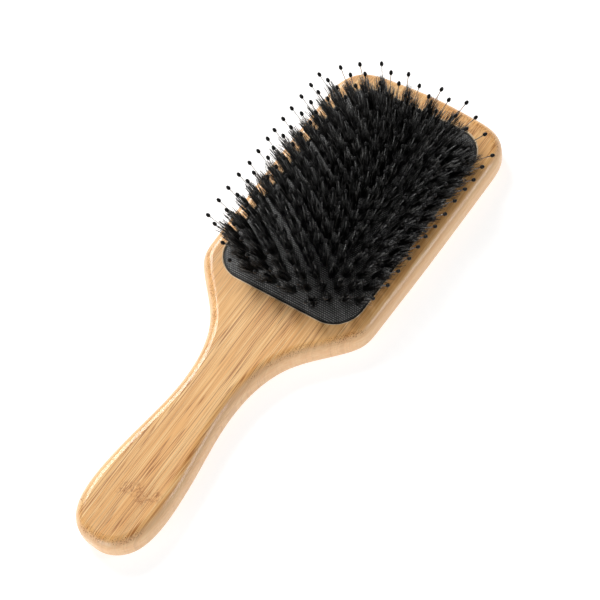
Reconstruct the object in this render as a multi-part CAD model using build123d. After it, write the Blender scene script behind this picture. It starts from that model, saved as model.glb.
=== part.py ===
from build123d import *
import math
import os

# Paddle hair brush: a bamboo paddle with a routed pocket, and a domed air cushion in it that
# carries a field of bristle tufts, each with one nylon pin through its middle.
# Frame: Z = 0 is the flat back, +Z is the way the bristles point, +Y runs from handle to head.
# X = 0 and Y = 0 are the middles of the paddle's width and length. All sizes are in millimetres.

# Paddle
LENGTH = 243.84
WIDTH = 83.82
THICKNESS = 12.0
EDGE_RADIUS = 4.4

# Pocket for the cushion
PAD_Y = 57.7
PAD_HALF_WIDTH = 33.55
PAD_HALF_LENGTH = 54.03
PAD_CORNER = 13.0
POCKET_FLOOR = 4.0
GROOVE_LOW = 9.2
GROOVE_HIGH = 10.9
GROOVE_DEPTH = 2.4
LIP_RADIUS = 0.6

# Air cushion
CUSHION_GAP = 0.15
RIM_Z = 11.2
DOME_HEIGHT = 5.0
DOME_RUN = 24.0
MEMBRANE = 1.3
FACING = 0.4
FLANGE_LOW = 9.35
FLANGE_HIGH = 10.75
FLANGE_WIDTH = 2.1
HOLE_RADIUS = 1.22

# Bristle field: columns a constant distance apart, every other column shifted by half a pitch.
# The tufts fan out from the middle, and the whole field leans a little towards the head.
COLUMNS = 13
COLUMN_STEP = 4.9
ROW_PITCH = 6.35
FIELD_Y = 57.1
LEAN_HALF_WIDTH = 30.0
LEAN_HALF_LENGTH = 45.0
LEAN_X_NEAR = 0.69
LEAN_X_FAR = 0.41
LEAN_X_TWIST = 0.26
LEAN_Y_ALL = 0.18
LEAN_Y_NEAR = 0.06
LEAN_Y_FAR = 0.53

# One tuft, measured along its own axis from the cushion's surface
TUFT_ROOT_RADIUS = 1.05
TUFT_TIP_RADIUS = 2.3
TUFT_LENGTH = 12.8
TUFT_NECK = 1.0
KNOT_RADIUS = 1.3
KNOT_TOP = -4.3
KNOT_BOTTOM = -5.3
BORE_RADIUS = 0.32
PIN_RADIUS = 0.26
PIN_LENGTH = 18.1
PIN_HEAD_RADIUS = 1.25
PIN_HEAD_TOP = -5.35
PIN_HEAD_BOTTOM = -6.1
BALL_RADIUS = 0.85
BALL_SOCKET = 0.6


def paddle_outline():
    """The paddle seen from the front: a rounded handle, a waist, and a square head with round corners."""
    end = -LENGTH / 2
    half = WIDTH / 2
    side = [
        (0, end),
        (7.2, end + 1.15),
        (13.4, end + 6.2),
        (17.2, end + 18),
        (17.1, end + 32),
        (15.7, end + 45),
        (12.4, end + 77),
        (19.2, end + 104),
        (35.2, end + 122),
        (39.9, end + 129),
        (half - 0.9, end + 138),
        (half - 0.4, end + 160),
        (half - 0.1, end + 190),
        (half - 0.1, end + 220),
        (half - 1.9, end + 233),
        (35.4, end + 238.8),
        (20.0, end + 242.8),
        (0, -end),
    ]
    other_side = [(-x, y) for x, y in reversed(side[1:-1])]
    return make_face(Spline(*side, *other_side, periodic=True))


def rounded_rectangle(inset, z):
    """The pad's outline, drawn in by inset, at height z."""
    width = 2 * (PAD_HALF_WIDTH - inset)
    length = 2 * (PAD_HALF_LENGTH - inset)
    corner = max(PAD_CORNER - 0.45 * inset, 3.0)
    return Pos(0, PAD_Y, z) * RectangleRounded(width, length, corner)


def dome_z(inset):
    """Height of the cushion's surface at a distance in from the pad's edge."""
    far = 1 - min(max(inset, 0) / DOME_RUN, 1)
    return RIM_Z + DOME_HEIGHT * (1 - far * far)


def surface_z(x, y):
    """Height of the cushion's surface above a point of the pad."""
    inset = min(PAD_HALF_WIDTH - abs(x), PAD_HALF_LENGTH - abs(y - PAD_Y))
    return dome_z(inset)


def dome(shift, edge):
    """A solid under the cushion's surface moved by shift, drawn in by edge, flat at its foot."""
    insets = [0.0, 3.0, 7.0, 12.0, 18.0, 24.0]
    sections = [rounded_rectangle(i + edge, dome_z(i) + shift) for i in insets]
    return loft(sections)


def paddle_body():
    """One milled board of laminated bamboo, with the cushion's pocket, its groove and a sanded lip."""
    board = extrude(paddle_outline(), THICKNESS)
    rims = board.edges().filter_by(GeomType.BSPLINE)
    board = fillet(rims, EDGE_RADIUS)
    pocket = extrude(rounded_rectangle(0, POCKET_FLOOR), THICKNESS)
    groove = extrude(rounded_rectangle(-GROOVE_DEPTH, GROOVE_LOW), GROOVE_HIGH - GROOVE_LOW)
    board = board - pocket
    top_face = board.faces().filter_by(GeomType.PLANE).sort_by(Axis.Z)[-1]
    board = fillet(top_face.inner_wires()[0].edges(), LIP_RADIUS)
    return board - groove


def tuft_places():
    """For each column, the root and the direction of each of its tufts."""
    columns = []
    for column in range(COLUMNS):
        x = (column - (COLUMNS - 1) / 2) * COLUMN_STEP
        from_side = min(column, COLUMNS - 1 - column)
        last = {0: 6, 1: 6.5}.get(from_side, 7.5 if column % 2 else 7)
        steps = [k - last for k in range(int(2 * last) + 1)]
        tufts = []
        for step in steps:
            y = step * ROW_PITCH
            u = x / LEAN_HALF_WIDTH
            v = y / LEAN_HALF_LENGTH
            lean_x = LEAN_X_NEAR * u + LEAN_X_FAR * u**3 + LEAN_X_TWIST * u * v
            lean_y = LEAN_Y_ALL + LEAN_Y_NEAR * v + LEAN_Y_FAR * v**3
            root = (x, FIELD_Y + y, surface_z(x, FIELD_Y + y))
            tufts.append(Location(Plane(origin=root, z_dir=(lean_x, lean_y, 1))))
        columns.append(tufts)
    return columns


def turned(profile):
    """A solid turned from a closed outline of (radius, height) points."""
    outline = Polyline(*[(r, 0, z) for r, z in profile], close=True)
    return revolve(make_face(outline), Axis.Z)


def tuft():
    """A bundle of bristles with its folded knot below the cushion and a way for the pin in its middle."""
    return turned(
        [
            (BORE_RADIUS, KNOT_BOTTOM),
            (KNOT_RADIUS, KNOT_BOTTOM),
            (KNOT_RADIUS, KNOT_TOP),
            (TUFT_ROOT_RADIUS, KNOT_TOP + 0.25),
            (TUFT_ROOT_RADIUS, TUFT_NECK),
            (TUFT_TIP_RADIUS, TUFT_LENGTH),
            (BORE_RADIUS, TUFT_LENGTH + 0.6),
        ]
    )


def pin():
    """A straight nylon pin with a flat head that stops it from pulling through the cushion."""
    return turned(
        [
            (0, PIN_HEAD_BOTTOM),
            (PIN_HEAD_RADIUS, PIN_HEAD_BOTTOM),
            (PIN_HEAD_RADIUS, PIN_HEAD_TOP),
            (PIN_RADIUS, PIN_HEAD_TOP),
            (PIN_RADIUS, PIN_LENGTH),
            (0, PIN_LENGTH),
        ]
    )


def ball():
    """The round bead on a pin's end, with the socket that the pin fills."""
    bead = Pos(0, 0, PIN_LENGTH) * Sphere(BALL_RADIUS)
    socket = Pos(0, 0, PIN_LENGTH - BALL_RADIUS) * Cylinder(
        PIN_RADIUS + 0.01, 2 * BALL_RADIUS + 0.02, align=(Align.CENTER, Align.CENTER, Align.MAX)
    )
    return bead - Pos(0, 0, BALL_RADIUS + 0.01) * socket


def holes(places):
    """One slanted hole through the cushion for each tuft."""
    drill = Cylinder(HOLE_RADIUS, 2 * -KNOT_TOP, align=(Align.CENTER, Align.CENTER, Align.CENTER))
    return [drill.moved(place) for column in places for place in column]


def membrane(places):
    """The rubber sheet: a thin dome with a flange that snaps into the paddle's groove."""
    flange = extrude(
        rounded_rectangle(CUSHION_GAP - FLANGE_WIDTH, FLANGE_LOW), FLANGE_HIGH - FLANGE_LOW
    )
    neck = extrude(rounded_rectangle(CUSHION_GAP, FLANGE_LOW), RIM_Z - FLANGE_LOW)
    hollow_foot = extrude(rounded_rectangle(2.2, FLANGE_LOW), RIM_Z - MEMBRANE - FLANGE_LOW)
    shell = dome(0, CUSHION_GAP) + neck + flange - hollow_foot - dome(-MEMBRANE, 2.2)
    return shell - holes(places)


def facing(places):
    """The woven cloth bonded over the rubber."""
    cloth = dome(FACING, CUSHION_GAP) + extrude(rounded_rectangle(CUSHION_GAP, RIM_Z), FACING)
    return cloth - dome(0, CUSHION_GAP) - holes(places)


def save(node, shape):
    shape.label = node
    export_step(shape, f"parts/{node}.step")


def main():
    os.makedirs("parts", exist_ok=True)
    places = tuft_places()
    save("paddle_body", paddle_body())
    save("cushion_membrane", membrane(places))
    save("cushion_facing", facing(places))
    shapes = {"bristle_tufts": tuft(), "nylon_pins": pin(), "ball_tips": ball()}
    for name, shape in shapes.items():
        for number, column in enumerate(places, 1):
            group = Compound([shape.moved(place) for place in column])
            save(f"{name}_column_{number:02d}", group)


main()
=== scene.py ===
"""The looks of a bamboo paddle brush: varnished wood, a woven cushion, bristle tufts, ball-tipped pins.

Every length is in metres, in the part's own frame: +Y from handle to head, +Z the way the bristles point.
"""

import math

import bmesh
import bpy
import numpy as np
from mathutils import Matrix, Vector


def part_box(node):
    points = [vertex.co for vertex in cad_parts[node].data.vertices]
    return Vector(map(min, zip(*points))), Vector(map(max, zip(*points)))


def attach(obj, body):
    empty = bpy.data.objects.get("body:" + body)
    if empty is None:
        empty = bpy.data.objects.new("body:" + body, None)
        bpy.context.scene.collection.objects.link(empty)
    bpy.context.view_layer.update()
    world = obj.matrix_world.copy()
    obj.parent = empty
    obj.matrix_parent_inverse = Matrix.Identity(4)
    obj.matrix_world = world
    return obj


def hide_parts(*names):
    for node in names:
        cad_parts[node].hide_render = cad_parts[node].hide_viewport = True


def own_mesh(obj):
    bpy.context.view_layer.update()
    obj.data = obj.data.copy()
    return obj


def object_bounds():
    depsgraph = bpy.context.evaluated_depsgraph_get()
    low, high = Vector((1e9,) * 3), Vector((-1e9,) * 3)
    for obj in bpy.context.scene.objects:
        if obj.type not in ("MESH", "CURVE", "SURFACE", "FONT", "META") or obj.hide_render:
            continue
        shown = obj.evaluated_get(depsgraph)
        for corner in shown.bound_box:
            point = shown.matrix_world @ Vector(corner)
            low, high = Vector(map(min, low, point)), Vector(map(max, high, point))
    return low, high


MM = 0.001
COLUMNS = 13
FLOOR_Z = -0.2 * MM
SEED = 7

# Tufts. A pair is the lowest and highest factor of a random draw
HAIRS_PER_TUFT = 74
HAIR_RADIUS = 0.135 * MM
HAIR_THICKNESSES = (0.8, 1.25)
HAIR_TAPER = 0.5
HAIR_SIDES = 4
HAIR_RINGS = 5
HAIR_LENGTH = 13.6 * MM
HAIR_BELOW_CLOTH = 0.8 * MM
HAIR_CURL = 0.35 * MM
HAIR_TWIST = 0.3
OUTER_SHORTENING = 0.12
TUFT_ROOT_RADIUS = 1.0 * MM
TUFT_TIP_RADIUS = 3.2 * MM
HAIR_SPREADS = (0.4, 1.2)
TUFT_SPREADS = (0.88, 1.1)
HAIR_REACHES = (0.74, 1.08)
TUFT_REACHES = (0.95, 1.06)
SHORT_HAIRS = 0.12
SHORT_REACHES = (0.55, 0.85)
PIN_PULL = 0.4
TUFT_WOBBLE = 0.03

# Pins and their beads
PIN_BELOW_SURFACE = 6.1 * MM
PIN_RADIUS = 0.19 * MM
PIN_SIDES = 10
BEAD_RADIUS = 0.82 * MM
BEAD_HALF_LENGTH = 1.12 * MM
BEAD_ROWS = 9
BEAD_SIDES = 14
PIN_IN_BEAD = 0.3 * MM
PIN_JITTER = 0.75 * MM

# Cushion
PAD_CORNER = 13 * MM
DOME_POWER_X = 2.3
DOME_POWER_Y = 5
CLOTH_TUCK = 1.0 * MM
DIMPLE_DEPTH = 0.22 * MM
DIMPLE_RADIUS = 1.5 * MM
CUSHION_RINGS = 110
RING_CROWDING = 1.15
CUSHION_AROUND = 400
# The cloth's rolled edge: how far out in millimetres, and how far down as a share of the tuck
CLOTH_ROLL = ((0.10, 0.06), (0.16, 0.25), (0.16, 1.0))
# The rubber bead's section: how far out and how far up, in millimetres
RIM_SECTION = ((-0.25, -1.0), (-0.25, -0.1), (-0.1, 0.12), (0.1, 0.05), (0.14, -0.2), (0.14, -1.0))

# How far the cushion goes down, and the room that the hairs near the wood leave for it
PRESS = 2.0 * MM
RIM_MARGIN = 3.4 * MM
HAIR_CLEARANCE = 0.35 * MM

# Sizes used by the materials, in millimetres
CUSHION_GAP = 0.15
# LIP_WIDTH and LIP_BLUR: width and blur of the painted highlight on the pocket's lip
LIP_WIDTH = 0.6
LIP_BLUR = 0.15
STRIP_WIDTH = 5.4
STRIP_SHIFT = 1.2
STRIP_SWAY = 1.4
THREAD_X = 1.05
THREAD_Y = 0.82
# band of painted shade along the cloth's outer edge: where it starts and where it is full, inside the
# outline
SHADE_BAND_INNER = 0.95
SHADE_BAND_OUTER = 0.5
# Where the cane had joints: distance from the handle's end, from and to in x, and strength
NODE_MARKS = (
    (24.0, -6.0, 15.0, 0.85),
    (112.0, -60.0, -27.0, 0.45),
    (236.0, -60.0, 60.0, 0.4),
)

# Camera and lights
CAMERA_AIM = Vector((0.00637, 0.00999, 0.007))
CAMERA_AZIMUTH = 47.14
CAMERA_ELEVATION = 57.14
CAMERA_ROLL = -14.61
CAMERA_DISTANCE = 0.8731
CAMERA_LENS = 128.44
SENSOR_WIDTH = 36.0
WORLD_LIGHT = 0.15
FLOOR_HALF = 1.6
# Name, azimuth, elevation, distance, width, height and power
LIGHTS = (
    ("key", -116, 38, 2.2, 0.95, None, 51),
    ("front_fill", -5, 15, 2.0, 1.2, None, 21),
    ("right_strip", 119, 28, 2.6, 0.75, 1.1, 19),
)

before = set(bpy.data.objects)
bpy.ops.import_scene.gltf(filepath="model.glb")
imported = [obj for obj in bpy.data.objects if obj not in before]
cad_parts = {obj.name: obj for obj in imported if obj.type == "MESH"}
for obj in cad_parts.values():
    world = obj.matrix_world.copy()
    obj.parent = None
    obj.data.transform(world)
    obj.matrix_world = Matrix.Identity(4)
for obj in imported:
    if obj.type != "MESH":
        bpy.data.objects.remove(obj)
cad_low, cad_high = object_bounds()
random = np.random.default_rng(SEED)


# ---------------------------------------------------------------- helpers


def new_mesh(name, points, faces):
    """A smooth-shaded mesh object from lists of points and faces."""
    data = bpy.data.meshes.new(name)
    data.from_pydata([tuple(p) for p in points], [], [tuple(int(i) for i in f) for f in faces])
    data.update()
    data.polygons.foreach_set("use_smooth", [True] * len(data.polygons))
    obj = bpy.data.objects.new(name, data)
    bpy.context.scene.collection.objects.link(obj)
    return obj


def set_material(obj, material):
    """Makes this the object's only material."""
    obj.data.materials.clear()
    obj.data.materials.append(material)


def cross_frames(directions):
    """Two unit vectors at right angles to each direction."""
    side = np.cross(directions, np.array([0.31, 0.95, 0.05]))
    side /= np.linalg.norm(side, axis=-1, keepdims=True)
    other = np.cross(directions, side)
    return side, other


def tubes(paths, radii, sides):
    """Closed tubes along many paths at once. paths is (tubes, rings, 3) and radii is (tubes, rings)."""
    count, rings, _ = paths.shape
    along = paths[:, -1] - paths[:, 0]
    along /= np.linalg.norm(along, axis=1, keepdims=True)
    side, other = cross_frames(along)
    angle = np.arange(sides) * 2 * math.pi / sides
    around = (
        np.cos(angle)[None, :, None] * side[:, None, :] + np.sin(angle)[None, :, None] * other[:, None, :]
    )
    points = paths[:, :, None, :] + radii[:, :, None, None] * around[:, None, :, :]
    base = np.arange(count)[:, None, None] * rings * sides
    ring = np.arange(rings - 1)[None, :, None] * sides
    k = np.arange(sides)[None, None, :]
    nxt = (k + 1) % sides
    quads = np.stack(
        [base + ring + k, base + ring + nxt, base + ring + sides + nxt, base + ring + sides + k], axis=-1
    ).reshape(-1, 4)
    start = np.arange(count)[:, None] * rings * sides
    foot = start + np.arange(sides)[::-1][None, :]
    top = start + (rings - 1) * sides + np.arange(sides)[None, :]
    faces = [*quads.tolist(), *foot.tolist(), *top.tolist()]
    return points.reshape(-1, 3), faces


# ---------------------------------------------------------------- where the tufts are


def solids_of(node):
    """The separate solids of a CAD node, each as an array of its points."""
    bm = bmesh.new()
    bm.from_mesh(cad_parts[node].data)
    bmesh.ops.remove_doubles(bm, verts=bm.verts, dist=1e-6)
    left = set(bm.verts)
    found = []
    while left:
        stack = [left.pop()]
        members = []
        while stack:
            vertex = stack.pop()
            members.append(tuple(vertex.co))
            for edge in vertex.link_edges:
                far = edge.other_vert(vertex)
                if far in left:
                    left.remove(far)
                    stack.append(far)
        found.append(np.array(members))
    bm.free()
    return found


def tuft_axes(column):
    """The foot on the cushion, the direction and the length above it of each pin in a column."""
    rows = []
    for points in solids_of(f"nylon_pins_column_{column:02d}"):
        centre = points.mean(axis=0)
        axis = np.linalg.svd(points - centre, full_matrices=False)[2][0]
        if axis[2] < 0:
            axis = -axis
        reach = (points - centre) @ axis
        foot = centre + axis * (reach.min() + PIN_BELOW_SURFACE)
        rows.append((foot, axis, reach.max() - reach.min() - PIN_BELOW_SURFACE))
    rows.sort(key=lambda r: r[0][1])
    return rows


tufts = {c: tuft_axes(c) for c in range(1, COLUMNS + 1)}
tuft_feet = np.array([foot for rows in tufts.values() for foot, _, _ in rows])


# ---------------------------------------------------------------- the cushion's shape

cloth_low, cloth_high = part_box("cushion_facing")
pad_centre = (cloth_low + cloth_high) / 2
pad_half_x = (cloth_high.x - cloth_low.x) / 2
pad_half_y = (cloth_high.y - cloth_low.y) / 2
dome_height = cloth_high.z - cloth_low.z
wood_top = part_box("paddle_body")[1].z


def dome(x, y):
    """Height of the cloth above the pad's rim."""
    u = np.clip(np.abs(x) / pad_half_x, 0, 1)
    v = np.clip(np.abs(y) / pad_half_y, 0, 1)
    return dome_height * (1 - u**DOME_POWER_X) * (1 - v**DOME_POWER_Y)


def cloth_z(x, y):
    """Height of the cloth at a point of the part's frame, without its dimples."""
    return cloth_low.z + dome(x - pad_centre.x, y - pad_centre.y)


def pad_outline(around):
    """The x and the y, from the pad's middle, of points round its rounded rectangle."""
    angle = (np.arange(around) + 0.5) * 2 * math.pi / around
    angle = np.arctan2(np.sin(angle) * pad_half_y, np.cos(angle) * pad_half_x)
    dx, dy = np.cos(angle), np.sin(angle)
    core_x = pad_half_x - PAD_CORNER
    core_y = pad_half_y - PAD_CORNER
    flat = np.minimum(pad_half_x / np.maximum(np.abs(dx), 1e-9), pad_half_y / np.maximum(np.abs(dy), 1e-9))
    x, y = dx * flat, dy * flat
    in_corner = (np.abs(x) > core_x) & (np.abs(y) > core_y)
    b = np.abs(dx) * core_x + np.abs(dy) * core_y
    reach = b + np.sqrt(np.maximum(b * b - (core_x**2 + core_y**2 - PAD_CORNER**2), 0))
    radius = np.where(in_corner, reach, flat)
    return dx * radius, dy * radius


def outline_ring(edge_x, edge_y, out, z):
    """The pad's outline grown by a length and laid at one height."""
    grow = 1 + out / pad_half_x
    height = np.full(len(edge_x), z)
    return np.stack([pad_centre.x + edge_x * grow, pad_centre.y + edge_y * grow, height], axis=-1)


def ring_faces(first, second):
    """Four-sided faces between two rings of points, given the index of each ring's first point."""
    k = np.arange(CUSHION_AROUND)
    nxt = (k + 1) % CUSHION_AROUND
    return [(first + a, second + a, second + b, first + b) for a, b in zip(k, nxt)]


def make_cushion():
    """The woven cloth over the rubber: a dome with a dimple round each tuft, tucked in at its rim."""
    edge_x, edge_y = pad_outline(CUSHION_AROUND)
    share = np.linspace(0, 1, CUSHION_RINGS + 1)[1:]
    share = 1 - (1 - share) ** RING_CROWDING
    x = pad_centre.x + share[:, None] * edge_x[None, :]
    y = pad_centre.y + share[:, None] * edge_y[None, :]
    z = cloth_z(x, y)
    flat = np.stack([x.ravel(), y.ravel()], axis=1)
    dip = np.zeros(len(flat))
    for foot in tuft_feet:
        gap = ((flat - foot[:2]) ** 2).sum(axis=1)
        dip = np.maximum(dip, np.exp(-gap / DIMPLE_RADIUS**2))
    z = z - DIMPLE_DEPTH * dip.reshape(z.shape)
    rings = [np.stack([x, y, z], axis=-1)]
    # the rim rolls over and goes down into the groove
    for out, down in CLOTH_ROLL:
        rings.append(outline_ring(edge_x, edge_y, out * MM, cloth_low.z - down * CLOTH_TUCK)[None])
    points = np.concatenate(rings, axis=0)
    count = points.shape[0]
    middle = np.array([[pad_centre.x, pad_centre.y, cloth_z(pad_centre.x, pad_centre.y)]])
    points = np.concatenate([middle, points.reshape(-1, 3)])
    k = np.arange(CUSHION_AROUND)
    nxt = (k + 1) % CUSHION_AROUND
    faces = [(0, 1 + a, 1 + b) for a, b in zip(k, nxt)]
    for ring in range(count - 1):
        inner = 1 + ring * CUSHION_AROUND
        faces += ring_faces(inner, inner + CUSHION_AROUND)
    return new_mesh("woven_cushion", points, faces)


def make_rim():
    """The rubber's edge, a thin dark bead that fills the gap between the cloth and the wood."""
    edge_x, edge_y = pad_outline(CUSHION_AROUND)
    rings = [outline_ring(edge_x, edge_y, out * MM, cloth_low.z + up * MM) for out, up in RIM_SECTION]
    points = np.concatenate(rings)
    faces = []
    for step in range(len(rings)):
        after = (step + 1) % len(rings)
        faces += ring_faces(after * CUSHION_AROUND, step * CUSHION_AROUND)
    return new_mesh("rubber_rim", points, faces)


# ---------------------------------------------------------------- tufts, pins and beads


def on_cloth(foot, axis):
    """The point where a pin's axis comes out of the cloth, found in small steps."""
    step = 0.0
    for _ in range(12):
        point = foot + axis * step
        step += (cloth_z(point[0], point[1]) - point[2]) / axis[2] * 0.8
    return foot + axis * step


def clear_of_wood(path):
    """Lifts hairs near the wood and over it, so that they still clear it with the cushion pressed."""
    free = path[:, 1:]
    past_x = np.maximum(np.abs(free[..., 0] - pad_centre.x) - (pad_half_x - PAD_CORNER), 0)
    past_y = np.maximum(np.abs(free[..., 1] - pad_centre.y) - (pad_half_y - PAD_CORNER), 0)
    near = np.hypot(past_x, past_y) > PAD_CORNER - RIM_MARGIN
    lifted = np.maximum(free[..., 2], wood_top + PRESS + HAIR_CLEARANCE)
    path[:, 1:, 2] = np.where(near, lifted, free[..., 2])
    return path


def tuft_hairs(start, axis, pin_axis, side, other):
    """The paths, radii and random draws of one tuft's hairs; a draw sets a hair's tone and picks the few
    hairs with a painted glint.
    """
    n = HAIRS_PER_TUFT
    turn = random.uniform(0, 2 * math.pi, n)
    out = np.sqrt(random.uniform(0.10, 1, n))
    spread = out * TUFT_TIP_RADIUS * random.uniform(*HAIR_SPREADS, n) * random.uniform(*TUFT_SPREADS)
    turn_tip = turn + random.normal(0, HAIR_TWIST, n)
    root = (
        start
        - axis * HAIR_BELOW_CLOTH
        + (out * TUFT_ROOT_RADIUS * np.cos(turn))[:, None] * side
        + (out * TUFT_ROOT_RADIUS * np.sin(turn))[:, None] * other
    )
    reach = HAIR_LENGTH * random.uniform(*HAIR_REACHES, n) * (1 - OUTER_SHORTENING * out**2)
    reach = reach * random.uniform(*TUFT_REACHES)
    short = random.uniform(0, 1, n) < SHORT_HAIRS
    reach = np.where(short, reach * random.uniform(*SHORT_REACHES, n), reach)
    bundle = axis * (1 - PIN_PULL) + pin_axis * PIN_PULL
    bundle = bundle + side * random.normal(0, TUFT_WOBBLE) + other * random.normal(0, TUFT_WOBBLE)
    bundle /= np.linalg.norm(bundle)
    end = (
        start
        + bundle * reach[:, None]
        + (spread * np.cos(turn_tip))[:, None] * side
        + (spread * np.sin(turn_tip))[:, None] * other
    )
    curl = random.normal(0, HAIR_CURL, (n, 2))
    t = np.linspace(0, 1, HAIR_RINGS)
    bow = np.sin(t * math.pi)[None, :, None]
    path = root[:, None, :] + (end - root)[:, None, :] * t[None, :, None]
    path = path + bow * (curl[:, 0, None, None] * side + curl[:, 1, None, None] * other)
    thickness = HAIR_RADIUS * random.uniform(*HAIR_THICKNESSES, n)
    radii = thickness[:, None] * (1 - HAIR_TAPER * t**3)[None, :]
    return clear_of_wood(path), radii, random.uniform(0, 1, n)


def make_column(column):
    """The bristles, the pins and the beads of one column of tufts."""
    hairs, pin_paths, beads = [], [], []
    for foot, axis, length in tufts[column]:
        start = on_cloth(foot, axis)
        side, other = cross_frames(axis[None])
        side, other = side[0], other[0]
        lean = random.normal(0, PIN_JITTER, 2)
        tip = foot + axis * length + side * lean[0] + other * lean[1]
        pin_axis = (tip - start) / np.linalg.norm(tip - start)
        pin_paths.append(np.linspace(start - pin_axis * HAIR_BELOW_CLOTH, tip - pin_axis * PIN_IN_BEAD, 4))
        beads.append((tip, pin_axis))
        hairs.append(tuft_hairs(start, axis, pin_axis, side, other))
    number = f"{column:02d}"
    hair_paths, hair_radii, tones_and_glints = (np.concatenate(values) for values in zip(*hairs))
    points, faces = tubes(hair_paths, hair_radii, HAIR_SIDES)
    bristles = new_mesh(f"bristles_{number}", points, faces)
    # each hair's draw sets its tone and picks the hairs with a painted glint
    tone = bristles.data.attributes.new("tone", "FLOAT", "POINT")
    tone.data.foreach_set("value", np.repeat(tones_and_glints, HAIR_RINGS * HAIR_SIDES))

    paths = np.array(pin_paths)
    points, faces = tubes(paths, np.full(paths.shape[:2], PIN_RADIUS), PIN_SIDES)
    pins = new_mesh(f"pins_{number}", points, faces)
    return bristles, pins, make_beads(f"beads_{number}", beads)


def make_beads(name, beads):
    """Egg-shaped beads, one on each pin's end."""
    rows, around = BEAD_ROWS, BEAD_SIDES
    points, faces = [], []
    for tip, axis in beads:
        side, other = cross_frames(axis[None])
        first = len(points)
        points.append(tip - axis * BEAD_HALF_LENGTH)
        for row in range(1, rows):
            lift = -math.cos(math.pi * row / rows)
            width = math.sin(math.pi * row / rows) * (1 - 0.10 * lift)
            for k in range(around):
                turn = 2 * math.pi * k / around
                reach = side[0] * math.cos(turn) + other[0] * math.sin(turn)
                points.append(tip + axis * BEAD_HALF_LENGTH * lift + reach * BEAD_RADIUS * width)
        points.append(tip + axis * BEAD_HALF_LENGTH)
        last = len(points) - 1
        for k in range(around):
            nxt = (k + 1) % around
            faces.append((first, first + 1 + nxt, first + 1 + k))
            for row in range(rows - 2):
                a = first + 1 + row * around
                b = a + around
                faces.append((a + k, a + nxt, b + nxt, b + k))
            top = last - around
            faces.append((top + k, top + nxt, last))
    return new_mesh(name, points, faces)


# ---------------------------------------------------------------- materials


def srgb(r, g, b):
    """A colour given as 0 to 255 screen values, as linear light."""

    def linear(v):
        v /= 255
        return v / 12.92 if v <= 0.04045 else ((v + 0.055) / 1.055) ** 2.4

    return (linear(r), linear(g), linear(b), 1.0)


WOOD_LIGHT = srgb(240, 194, 132)
WOOD_HONEY = srgb(235, 179, 111)
WOOD_DEEP = srgb(221, 157, 89)
WOOD_BROWN = srgb(198, 133, 69)
WOOD_CREAM = srgb(251, 219, 164)
WOOD_LINE = srgb(150, 86, 34)
# paler colours of the sides, partly the side grain's own colour and partly painted light
EDGE_PALE = srgb(238, 200, 156)
EDGE_PINK = srgb(232, 186, 142)
# colour of the painted highlight on the pocket's lip
LIP_HIGHLIGHT = srgb(252, 230, 196)


def grey(value):
    """A neutral colour as linear light."""
    return (value, value, value, 1.0)


HOLE_BLACK = (0.004, 0.004, 0.0045, 1)
THREAD_GREY = (0.34, 0.34, 0.33, 1)
HAIR_BLACK = (0.0022, 0.002, 0.0018, 1)
HAIR_DARK = (0.012, 0.0115, 0.011, 1)
# grey of the painted glint on a few hairs
HAIR_GLINT_GREY = (0.2, 0.195, 0.185, 1)
NYLON_CLEAR = (0.66, 0.66, 0.65, 1)
NYLON_CLOUDY = (0.54, 0.54, 0.53, 1)


class Nodes:
    """A short way to write a material's node tree."""

    def __init__(self, name):
        self.material = bpy.data.materials.new(name)
        self.material.use_nodes = True
        self.tree = self.material.node_tree
        self.shader = self.tree.nodes["Principled BSDF"]

    def add(self, kind, inputs=(), **settings):
        """A new node with these settings, and these values or links in its inputs."""
        node = self.tree.nodes.new(kind)
        for key, value in settings.items():
            setattr(node, key, value)
        for key, value in dict(inputs).items():
            self.put(node.inputs[key], value)
        return node

    def put(self, socket, value):
        """Links an output to the socket, or gives it a constant."""
        if isinstance(value, bpy.types.NodeSocket):
            self.tree.links.new(value, socket)
        else:
            socket.default_value = value

    def math(self, operation, a, b=None, c=None, clamp=False):
        node = self.add("ShaderNodeMath", operation=operation, use_clamp=clamp)
        for k, value in enumerate((a, b, c)):
            if value is not None:
                self.put(node.inputs[k], value)
        return node.outputs[0]

    def times(self, a, b):
        return self.math("MULTIPLY", a, b)

    def mix(self, factor, a, b):
        """a where the factor is 0 and b where it is 1, for colours."""
        node = self.add("ShaderNodeMix", data_type="RGBA")
        self.put(node.inputs["Factor"], factor)
        self.put(node.inputs["A"], a)
        self.put(node.inputs["B"], b)
        return node.outputs["Result"]

    def smooth(self, value, low, high):
        """0 below low and 1 above high, with a soft step between."""
        node = self.add("ShaderNodeMapRange", interpolation_type="SMOOTHSTEP")
        self.put(node.inputs["Value"], value)
        self.put(node.inputs["From Min"], low)
        self.put(node.inputs["From Max"], high)
        return node.outputs["Result"]

    def vector(self, x, y, z):
        node = self.add("ShaderNodeCombineXYZ")
        for socket, value in zip(node.inputs, (x, y, z)):
            self.put(socket, value)
        return node.outputs[0]

    def noise(self, vector, scale=1.0, detail=2.0, rough=0.5):
        node = self.add("ShaderNodeTexNoise", {"Scale": scale, "Detail": detail, "Roughness": rough})
        self.put(node.inputs["Vector"], vector)
        return node.outputs["Fac"]

    def grain(self, x, y, across, along, third, detail=2.0, rough=0.5):
        """Noise stretched along the board: across and along are its steps per millimetre."""
        where = self.vector(self.times(x, across), self.times(y, along), third)
        return self.noise(where, 1.0, detail, rough)

    def random_tone(self, number):
        """A random value from 0 to 1 that is the same for the same number."""
        return self.add("ShaderNodeTexWhiteNoise", {"W": number}, noise_dimensions="1D").outputs["Value"]

    def place(self):
        """The x, y and z of the surface point in the part's frame, in millimetres."""
        where = self.add("ShaderNodeTexCoord").outputs["Object"]
        scaled = self.add("ShaderNodeVectorMath", operation="SCALE")
        self.put(scaled.inputs[0], where)
        scaled.inputs["Scale"].default_value = 1 / MM
        split = self.add("ShaderNodeSeparateXYZ", {"Vector": scaled.outputs[0]})
        return split.outputs


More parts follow.
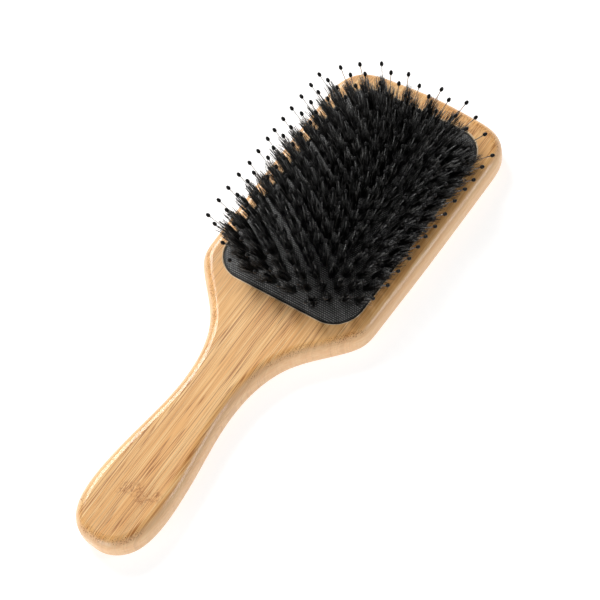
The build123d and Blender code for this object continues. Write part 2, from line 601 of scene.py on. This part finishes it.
def bamboo_material():
    """Pressed bamboo: strips of differing tone, dark fibre lines, node marks and a satin varnish."""
    n = Nodes("bamboo")
    x, y, z = n.place()
    sway = n.grain(x, y, 0.04, 0.011, 3.0, detail=1.0)
    x_bent = n.math("ADD", x, n.times(n.math("SUBTRACT", sway, 0.5), STRIP_SWAY))

    # the strips, each with its own tone and its own share of fibre lines
    strip = n.math("DIVIDE", n.math("ADD", x_bent, STRIP_SHIFT), STRIP_WIDTH)
    strip_number = n.math("FLOOR", strip)
    strip_tone = n.random_tone(strip_number)
    strip_lines = n.random_tone(n.math("ADD", strip_number, 40.5))
    within = n.math("SUBTRACT", strip, strip_number)
    to_edge = n.math("MINIMUM", within, n.math("SUBTRACT", 1.0, within))

    broad = n.grain(x_bent, y, 0.16, 0.012, 7.0)
    streak = n.grain(x_bent, y, 0.9, 0.016, 2.0)
    fine = n.grain(x_bent, y, 1.8, 0.03, z, rough=0.65)

    colour = n.mix(n.smooth(broad, 0.32, 0.7), WOOD_LIGHT, WOOD_HONEY)
    colour = n.mix(n.times(strip_tone, 0.5), colour, WOOD_DEEP)
    colour = n.mix(n.times(n.smooth(streak, 0.52, 0.7), 0.45), colour, WOOD_DEEP)
    colour = n.mix(n.times(n.smooth(streak, 0.46, 0.3), 0.5), colour, WOOD_CREAM)
    colour = n.mix(n.times(n.smooth(fine, 0.52, 0.72), 0.5), colour, WOOD_BROWN)
    colour = n.mix(n.times(n.smooth(fine, 0.47, 0.3), 0.5), colour, WOOD_CREAM)

    # thin dark fibre lines, long and broken, closer together in some strips
    lines = fibre_lines(n, x_bent, y)
    share = n.smooth(strip_lines, 0.15, 0.75)
    lines = n.times(lines, n.math("ADD", n.times(share, 0.72), 0.28))
    colour = n.mix(n.times(lines, 0.85), colour, WOOD_LINE)

    # the glue lines between strips come and go
    line_strength = n.noise(n.vector(strip_number, n.times(y, 0.02), 1.0), 1.7, 1.0)
    glue = n.times(n.smooth(to_edge, 0.030, 0.008), n.smooth(line_strength, 0.36, 0.6))
    colour = n.mix(n.times(glue, 0.7), colour, WOOD_LINE)

    colour = node_marks(n, colour, x_bent, y, strip_number)
    # paler sides, partly painted light, and end-grain dots
    colour = edge_grain_and_light(n, colour, x, y, z)
    # painted highlight: a fine pale line along the pocket's lip
    colour = pocket_lip_highlight(n, colour, x, y)

    n.put(n.shader.inputs["Base Color"], colour)
    n.put(n.shader.inputs["Roughness"], n.math("ADD", n.times(fine, 0.14), 0.36))
    n.shader.inputs["Specular IOR Level"].default_value = 0.28
    n.shader.inputs["Coat Weight"].default_value = 0.32
    n.shader.inputs["Coat Roughness"].default_value = 0.08
    grain = n.math("SUBTRACT", n.times(fine, 0.7), n.times(lines, 0.5))
    bump = n.add("ShaderNodeBump", {"Strength": 0.22, "Distance": 0.05 * MM, "Height": grain})
    n.put(n.shader.inputs["Normal"], bump.outputs[0])
    return n.material


def fibre_lines(n, x, y):
    """Thin dark lines along the board, from the contours of two stretched noises."""
    total = None
    for across, along, shift, width in ((0.42, 0.006, 5.0, 0.020), (0.75, 0.009, 9.0, 0.030)):
        field = n.grain(x, y, across, along, shift, detail=1.0)
        steps = n.math("FRACT", n.times(field, 7.0))
        line = n.smooth(n.math("ABSOLUTE", n.math("SUBTRACT", steps, 0.5)), width * 5.5, 0.0)
        breaks = n.grain(x, y, 0.7, 0.018, shift)
        line = n.times(line, n.smooth(breaks, 0.34, 0.5))
        total = line if total is None else n.math("MAXIMUM", total, line)
    return total


def edge_grain_and_light(n, colour, x, y, z):
    """The rounded edge and the sides: paler, pinkish wood, partly the side grain's own colour and partly
    painted light; dotted where the fibres are cut across.
    """
    normal = n.add("ShaderNodeSeparateXYZ", {"Vector": n.add("ShaderNodeTexCoord").outputs["Normal"]})
    up = n.math("ABSOLUTE", normal.outputs["Z"])
    across = n.math("ABSOLUTE", normal.outputs["Y"])
    # partly painted light: the paler colour is laid on by how far the surface turns away from the top
    edge = n.math("SUBTRACT", 1.0, n.smooth(up, 0.7, 0.97))
    layers = n.noise(n.vector(n.times(x, 0.3), n.times(y, 0.04), z), 1.6, 2.0)
    pale = n.mix(n.smooth(layers, 0.35, 0.65), EDGE_PALE, EDGE_PINK)
    colour = n.mix(n.times(edge, 0.78), colour, pale)
    dots = n.add("ShaderNodeTexVoronoi", {"Scale": 1.7, "Randomness": 1.0})
    n.put(dots.inputs["Vector"], n.vector(x, y, z))
    dot = n.smooth(dots.outputs["Distance"], 0.48, 0.2)
    cut = n.times(n.smooth(across, 0.06, 0.2), n.smooth(up, 0.5, 0.8))
    patchy = n.smooth(n.noise(n.vector(x, y, z), 0.12, 2.0), 0.3, 0.55)
    amount = n.times(n.times(dot, cut), n.times(patchy, 0.9))
    return n.mix(amount, colour, WOOD_LINE)


def past_pad(n, x, y):
    """How far, in millimetres, a point lies outside the cloth's outline. It is negative inside."""
    corner = PAD_CORNER / MM
    beyond = []
    for value, middle, half in ((x, pad_centre.x, pad_half_x), (y, pad_centre.y, pad_half_y)):
        away = n.math("ABSOLUTE", n.math("SUBTRACT", value, middle / MM))
        past = n.math("MAXIMUM", n.math("SUBTRACT", away, half / MM - corner), 0.0)
        beyond.append(n.math("POWER", past, 2.0))
    return n.math("SUBTRACT", n.math("SQRT", n.math("ADD", *beyond)), corner)


def pocket_lip_highlight(n, colour, x, y):
    """A painted highlight along the lip of the cushion's pocket: a fine pale line round the pad, where its
    small rounded edge catches the light.
    """
    edge = CUSHION_GAP + LIP_WIDTH
    lip = n.smooth(past_pad(n, x, y), edge + LIP_BLUR, edge - LIP_BLUR)
    return n.mix(n.times(lip, 0.75), colour, LIP_HIGHLIGHT)


def node_marks(n, colour, x, y, strip_number):
    """Dark ripples where the cane had a joint: near the handle's end, on the flare and near the far end."""
    handle_end = cad_low.y / MM
    for place, low_x, high_x, strength in NODE_MARKS:
        middle = n.math("ADD", n.times(n.random_tone(strip_number), 4.0), handle_end + place)
        gap = n.math("ABSOLUTE", n.math("SUBTRACT", y, middle))
        ripple = n.grain(x, y, 1.5, 0.5, place, detail=3.0, rough=0.75)
        band = n.times(n.smooth(gap, 5.0, 0.5), n.smooth(ripple, 0.45, 0.6))
        inside = n.times(n.smooth(x, low_x, low_x + 4), n.smooth(x, high_x, high_x - 4))
        colour = n.mix(n.times(n.times(band, inside), strength), colour, WOOD_LINE)
    return colour


def cloth_material():
    """Fine black mesh cloth: raised grey threads over dark holes, with painted shade along its outer edge.
    """
    n = Nodes("mesh_cloth")
    x, y, _ = n.place()
    u = n.math("DIVIDE", x, THREAD_X)
    v = n.math("DIVIDE", y, THREAD_Y)
    row = n.math("FLOOR", v)
    shift = n.times(n.math("MODULO", n.math("ABSOLUTE", row), 2.0), 0.5)
    thread_u = n.math("ABSOLUTE", n.math("SUBTRACT", n.math("FRACT", n.math("ADD", u, shift)), 0.5))
    thread_v = n.math("ABSOLUTE", n.math("SUBTRACT", n.math("FRACT", v), 0.5))
    raised = n.times(n.smooth(thread_u, 0.44, 0.26), n.smooth(thread_v, 0.34, 0.16))
    uneven = n.noise(n.vector(x, y, 2.0), 1.4, 3.0, 0.7)
    patch = n.noise(n.vector(x, y, 5.0), 0.35, 2.0)
    lift = n.math("MULTIPLY", raised, n.math("ADD", n.times(uneven, 2.4), -0.55), clamp=True)
    colour = n.mix(lift, HOLE_BLACK, THREAD_GREY)
    colour = n.mix(n.times(n.smooth(patch, 0.35, 0.7), 0.3), colour, grey(0.02))
    # painted shade: the outer band of the cloth, beside the pocket wall, goes nearly black
    edge_shade = n.smooth(past_pad(n, x, y), -SHADE_BAND_INNER, -SHADE_BAND_OUTER)
    colour = n.mix(edge_shade, colour, grey(0.003))
    n.put(n.shader.inputs["Base Color"], colour)
    n.shader.inputs["Roughness"].default_value = 0.62
    n.shader.inputs["Sheen Weight"].default_value = 0.12
    bump = n.add("ShaderNodeBump", {"Strength": 0.8, "Distance": 0.14 * MM, "Height": lift})
    n.put(n.shader.inputs["Normal"], bump.outputs[0])
    return n.material


def bristle_material():
    """Black hair, each hair a little different, with a painted grey glint on a few hairs."""
    n = Nodes("black_bristle")
    tone = n.add("ShaderNodeAttribute", attribute_name="tone").outputs["Fac"]
    x, y, z = n.place()
    along = n.noise(n.vector(x, y, z), 0.9, 2.0)
    base = n.mix(n.smooth(tone, 0.4, 0.9), HAIR_BLACK, HAIR_DARK)
    # painted glint: the hairs with the highest draw turn grey, standing in for light caught on them
    base = n.mix(n.smooth(tone, 0.84, 0.97), base, HAIR_GLINT_GREY)
    n.put(n.shader.inputs["Base Color"], base)
    n.put(n.shader.inputs["Roughness"], n.math("ADD", n.times(along, 0.2), 0.26))
    n.shader.inputs["Specular IOR Level"].default_value = 0.52
    return n.material


def bead_material():
    """Glossy black nylon with a faint mould bloom."""
    n = Nodes("black_bead")
    x, y, z = n.place()
    bloom = n.noise(n.vector(x, y, z), 1.4, 2.0)
    n.put(n.shader.inputs["Base Color"], n.mix(bloom, grey(0.004), grey(0.012)))
    n.put(n.shader.inputs["Roughness"], n.math("ADD", n.times(bloom, 0.15), 0.22))
    n.shader.inputs["Specular IOR Level"].default_value = 0.12
    return n.material


def nylon_material():
    """Clear nylon, slightly cloudy."""
    n = Nodes("clear_nylon")
    x, y, z = n.place()
    cloud = n.noise(n.vector(x, y, z), 0.8, 2.0)
    n.put(n.shader.inputs["Base Color"], n.mix(cloud, NYLON_CLEAR, NYLON_CLOUDY))
    n.put(n.shader.inputs["Roughness"], n.math("ADD", n.times(cloud, 0.12), 0.14))
    n.shader.inputs["Transmission Weight"].default_value = 0.88
    n.shader.inputs["IOR"].default_value = 1.16
    return n.material


def rubber_material():
    """Matt black rubber."""
    n = Nodes("black_rubber")
    x, y, z = n.place()
    worn = n.noise(n.vector(x, y, z), 0.7, 3.0)
    n.put(n.shader.inputs["Base Color"], n.mix(worn, grey(0.006), grey(0.014)))
    n.put(n.shader.inputs["Roughness"], n.math("ADD", n.times(worn, 0.2), 0.5))
    return n.material


# ---------------------------------------------------------------- stage


def make_floor():
    """A wide pale floor under the brush."""
    size = FLOOR_HALF
    corners = ((-size, -size), (size, -size), (size, size), (-size, size))
    floor = new_mesh("floor", [(x, y, FLOOR_Z) for x, y in corners], [(0, 1, 2, 3)])
    n = Nodes("pale_floor")
    x, y, _ = n.place()
    tone = n.noise(n.vector(x, y, 0.0), 0.01, 2.0)
    n.put(n.shader.inputs["Base Color"], n.mix(tone, grey(0.52), grey(0.56)))
    n.shader.inputs["Roughness"].default_value = 0.9
    n.shader.inputs["Specular IOR Level"].default_value = 0.1
    n.shader.inputs["Emission Color"].default_value = (1, 1, 1, 1)
    n.shader.inputs["Emission Strength"].default_value = 0.72
    set_material(floor, n.material)


def back_towards(azimuth, elevation):
    """The unit vector from the brush to a place given in degrees. Azimuth 0 is on the -Y side, 90 on +X."""
    a, e = math.radians(azimuth), math.radians(elevation)
    return Vector((math.sin(a) * math.cos(e), -math.cos(a) * math.cos(e), math.sin(e)))


def make_light(name, azimuth, elevation, distance, width, height, power):
    """A soft area light that points at the brush, square when it has no height of its own."""
    data = bpy.data.lights.new(name, "AREA")
    data.energy = power
    data.size = width
    if height:
        data.shape = "RECTANGLE"
        data.size_y = height
    light = bpy.data.objects.new(name, data)
    bpy.context.scene.collection.objects.link(light)
    back = back_towards(azimuth, elevation)
    light.location = back * distance
    light.rotation_mode = "QUATERNION"
    light.rotation_quaternion = (-back).to_track_quat("-Z", "Y")
    return light


def make_world(strength):
    """A plain white surround."""
    world = bpy.data.worlds.new("studio")
    world.use_nodes = True
    background = world.node_tree.nodes["Background"]
    background.inputs["Color"].default_value = (1, 1, 1, 1)
    background.inputs["Strength"].default_value = strength
    bpy.context.scene.world = world


def make_camera():
    """The camera at the photograph's angle, turned about its own axis."""
    data = bpy.data.cameras.new("camera")
    data.lens = CAMERA_LENS
    data.sensor_width = SENSOR_WIDTH
    data.clip_start, data.clip_end = 0.05, 20.0
    camera = bpy.data.objects.new("camera", data)
    bpy.context.scene.collection.objects.link(camera)
    back = back_towards(CAMERA_AZIMUTH, CAMERA_ELEVATION)
    camera.location = CAMERA_AIM + back * CAMERA_DISTANCE
    right = Vector((0, 0, 1)).cross(back).normalized()
    up = back.cross(right)
    roll = math.radians(CAMERA_ROLL)
    turned_right = right * math.cos(roll) + up * math.sin(roll)
    turned_up = back.cross(turned_right)
    turn = Matrix((turned_right, turned_up, back)).transposed()
    camera.rotation_mode = "QUATERNION"
    camera.rotation_quaternion = turn.to_quaternion()
    bpy.context.scene.camera = camera


# ---------------------------------------------------------------- build


def build():
    """Makes every piece, its material and the body that it rides on."""
    materials = {
        "bamboo": bamboo_material(),
        "cloth": cloth_material(),
        "rubber": rubber_material(),
        "bristle": bristle_material(),
        "nylon": nylon_material(),
        "bead": bead_material(),
    }
    set_material(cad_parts["paddle_body"], materials["bamboo"])

    cushion = make_cushion()
    set_material(cushion, materials["cloth"])
    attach(cushion, "paddle")
    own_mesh(cushion)
    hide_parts("cushion_facing")

    rim = make_rim()
    set_material(rim, materials["rubber"])
    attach(rim, "paddle")
    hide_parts("cushion_membrane")

    for column in range(1, COLUMNS + 1):
        bristles, pins, beads = make_column(column)
        for piece, material, slot, node in (
            (bristles, "bristle", "bristle", "bristle_tufts"),
            (pins, "nylon", "clear_nylon", "nylon_pins"),
            (beads, "bead", "black_nylon", "ball_tips"),
        ):
            set_material(piece, materials[material])
            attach(piece, "cushion")
            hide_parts(f"{node}_column_{column:02d}")


def light_and_stage():
    """The floor, the lights and the camera."""
    make_floor()
    make_world(WORLD_LIGHT)
    for light in LIGHTS:
        make_light(*light)
    scene = bpy.context.scene
    scene.view_settings.view_transform = "Standard"
    scene.view_settings.look = "None"
    make_camera()


build()
light_and_stage()
